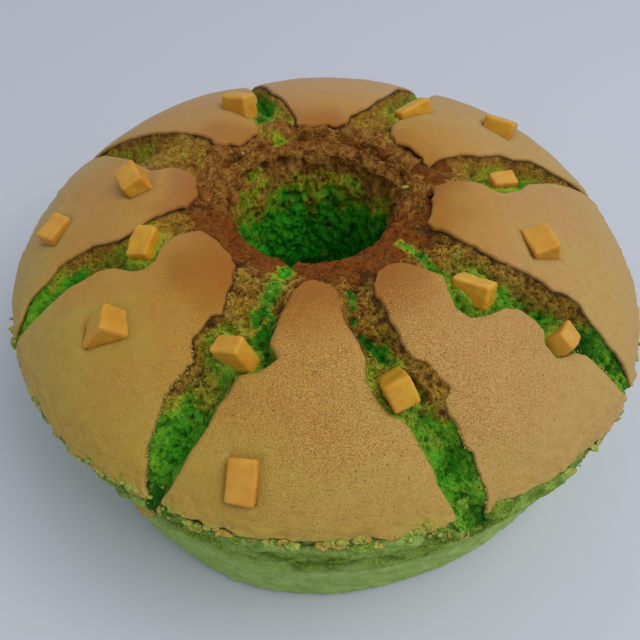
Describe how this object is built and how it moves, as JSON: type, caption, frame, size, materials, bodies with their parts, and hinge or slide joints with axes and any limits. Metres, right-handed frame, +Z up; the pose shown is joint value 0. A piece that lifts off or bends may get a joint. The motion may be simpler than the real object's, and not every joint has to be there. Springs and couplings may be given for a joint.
{
  "type": "chiffon cake",
  "caption": "Domed ring-shaped chiffon cake with a browned crust split into petals by radial cracks, a tapered side, a central tube hole and cheese cubes baked into the top.",
  "frame": {"origin": "middle of the flat base, under the middle of the outline seen from above", "axes": "+Z up along the tube hole; -Y towards the front, +X to the right as seen from the front"},
  "size_m": [0.2294, 0.2294, 0.1063],
  "materials": {
    "cake": "matte browned crust over green crumb",
    "cheese": "soft satin"
  },
  "bodies": {
    "root": {"cake": "cake", "cheese_01": "cheese", "cheese_02": "cheese", "cheese_03": "cheese", "cheese_04": "cheese", "cheese_05": "cheese", "cheese_06": "cheese", "cheese_07": "cheese", "cheese_08": "cheese", "cheese_09": "cheese", "cheese_10": "cheese", "cheese_11": "cheese", "cheese_12": "cheese", "cheese_13": "cheese", "cheese_14": "cheese"}
  },
  "joints": []
}
